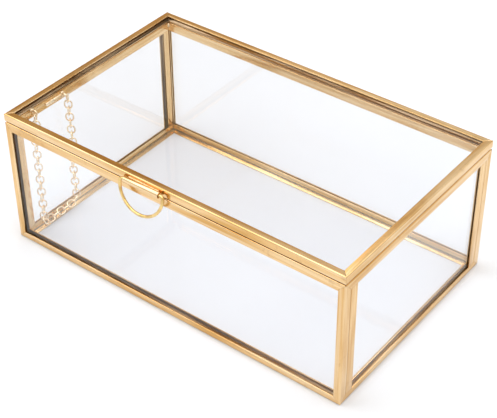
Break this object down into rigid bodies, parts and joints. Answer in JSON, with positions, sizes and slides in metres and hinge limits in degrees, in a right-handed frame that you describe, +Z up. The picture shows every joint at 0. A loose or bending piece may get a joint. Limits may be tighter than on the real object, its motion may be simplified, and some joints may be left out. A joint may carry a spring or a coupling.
{
  "type": "glass jewelry box",
  "caption": "Rectangular glass box in a brass channel frame, with a hinged glass lid, a hanging wire ring pull at the front and a stay chain inside at one end.",
  "frame": {"origin": "under the middle of the bounding box, on the surface the box stands on", "axes": "+X along the long front, left to right as seen from the front; +Y to the back, where the hinges are; +Z up"},
  "size_m": [0.2, 0.1312, 0.076],
  "materials": {
    "brass_frame": "polished sheet brass, lightly brushed and stained",
    "brass_wire": "polished drawn wire and rolled tube",
    "brass_chain": "bright cable chain",
    "solder": "plated solder, uneven and half bright",
    "clear_glass": "clear flat glass, polished"
  },
  "bodies": {
    "box": {"back_pane": "clear_glass", "base_pane": "clear_glass", "bottom_rail_back": "brass_frame", "bottom_rail_front": "brass_frame", "bottom_rail_left": "brass_frame", "bottom_rail_right": "brass_frame", "chain_ring_body": "brass_chain", "front_pane": "clear_glass", "hinge_wire_left": "brass_wire", "hinge_wire_right": "brass_wire", "left_pane": "clear_glass", "post_back_left": "brass_frame", "post_back_right": "brass_frame", "post_front_left": "brass_frame", "post_front_right": "brass_frame", "right_pane": "clear_glass", "rim_rail_back": "brass_frame", "rim_rail_front": "brass_frame", "rim_rail_left": "brass_frame", "rim_rail_right": "brass_frame", "side_post_back_left": "brass_frame", "side_post_back_right": "brass_frame", "side_post_front_left": "brass_frame", "side_post_front_right": "brass_frame", "solder_body": "solder"},
    "lid": {"lid_pane": "clear_glass", "pull_tube": "brass_wire", "chain_ring_lid": "brass_chain", "solder_lid": "solder", "hinge_tube_left": "brass_wire", "hinge_tube_right": "brass_wire", "lid_rail_front": "brass_frame", "lid_rail_back": "brass_frame", "lid_rail_left": "brass_frame", "lid_rail_right": "brass_frame"},
    "ring": {"ring_pull": "brass_wire"},
    "front_strand": {"chain_front": "brass_chain"},
    "front_turn": {"chain_front_turn": "brass_chain"},
    "floor_run": {"chain_floor": "brass_chain"},
    "floor_end": {"chain_floor_end": "brass_chain"},
    "rear_turn": {"chain_rear_turn": "brass_chain"},
    "rear_strand": {"chain_rear": "brass_chain"}
  },
  "joints": [
    {"name": "lid_hinge", "type": "hinge", "parent": "box", "child": "lid", "pos_m": [0, 0.06402, 0.0716], "axis": [-1, 0, 0], "range_deg": [0, 96]},
    {"name": "ring_hinge", "type": "hinge", "parent": "lid", "child": "ring", "pos_m": [-0.0105, -0.06208, 0.0734], "axis": [-1, 0, 0], "range_deg": [-13, 180]},
    {"name": "front_strand_link", "type": "hinge", "parent": "lid", "child": "front_strand", "pos_m": [-0.0929, -0.04669, 0.06847], "axis": [1, 0, 0], "range_deg": [0, 56.4]},
    {"name": "front_turn_link", "type": "hinge", "parent": "front_strand", "child": "front_turn", "pos_m": [-0.0929, -0.04754, 0.00688], "axis": [1, 0, 0], "range_deg": [-45.8, 0]},
    {"name": "floor_run_link", "type": "hinge", "parent": "front_turn", "child": "floor_run", "pos_m": [-0.0929, -0.04556, 0.0049], "axis": [1, 0, 0], "range_deg": [-45, 0]},
    {"name": "rear_strand_link", "type": "hinge", "parent": "box", "child": "rear_strand", "pos_m": [-0.0929, -0.02413, 0.06847], "axis": [1, 0, 0], "range_deg": [0, 138.9]},
    {"name": "rear_turn_link", "type": "hinge", "parent": "rear_strand", "child": "rear_turn", "pos_m": [-0.0929, -0.02328, 0.00688], "axis": [1, 0, 0], "range_deg": [0, 45.8]},
    {"name": "floor_end_link", "type": "hinge", "parent": "rear_turn", "child": "floor_end", "pos_m": [-0.0929, -0.02526, 0.0049], "axis": [1, 0, 0], "range_deg": [0, 45]}
  ],
  "couplings": [
    {"joint": "front_strand_link", "follows": "lid_hinge", "ratio": 0.58747},
    {"joint": "front_turn_link", "follows": "lid_hinge", "ratio": -0.47695},
    {"joint": "floor_run_link", "follows": "lid_hinge", "ratio": -0.46875},
    {"joint": "rear_strand_link", "follows": "lid_hinge", "ratio": 1.4461},
    {"joint": "rear_turn_link", "follows": "lid_hinge", "ratio": 0.47695},
    {"joint": "floor_end_link", "follows": "lid_hinge", "ratio": 0.46875}
  ]
}
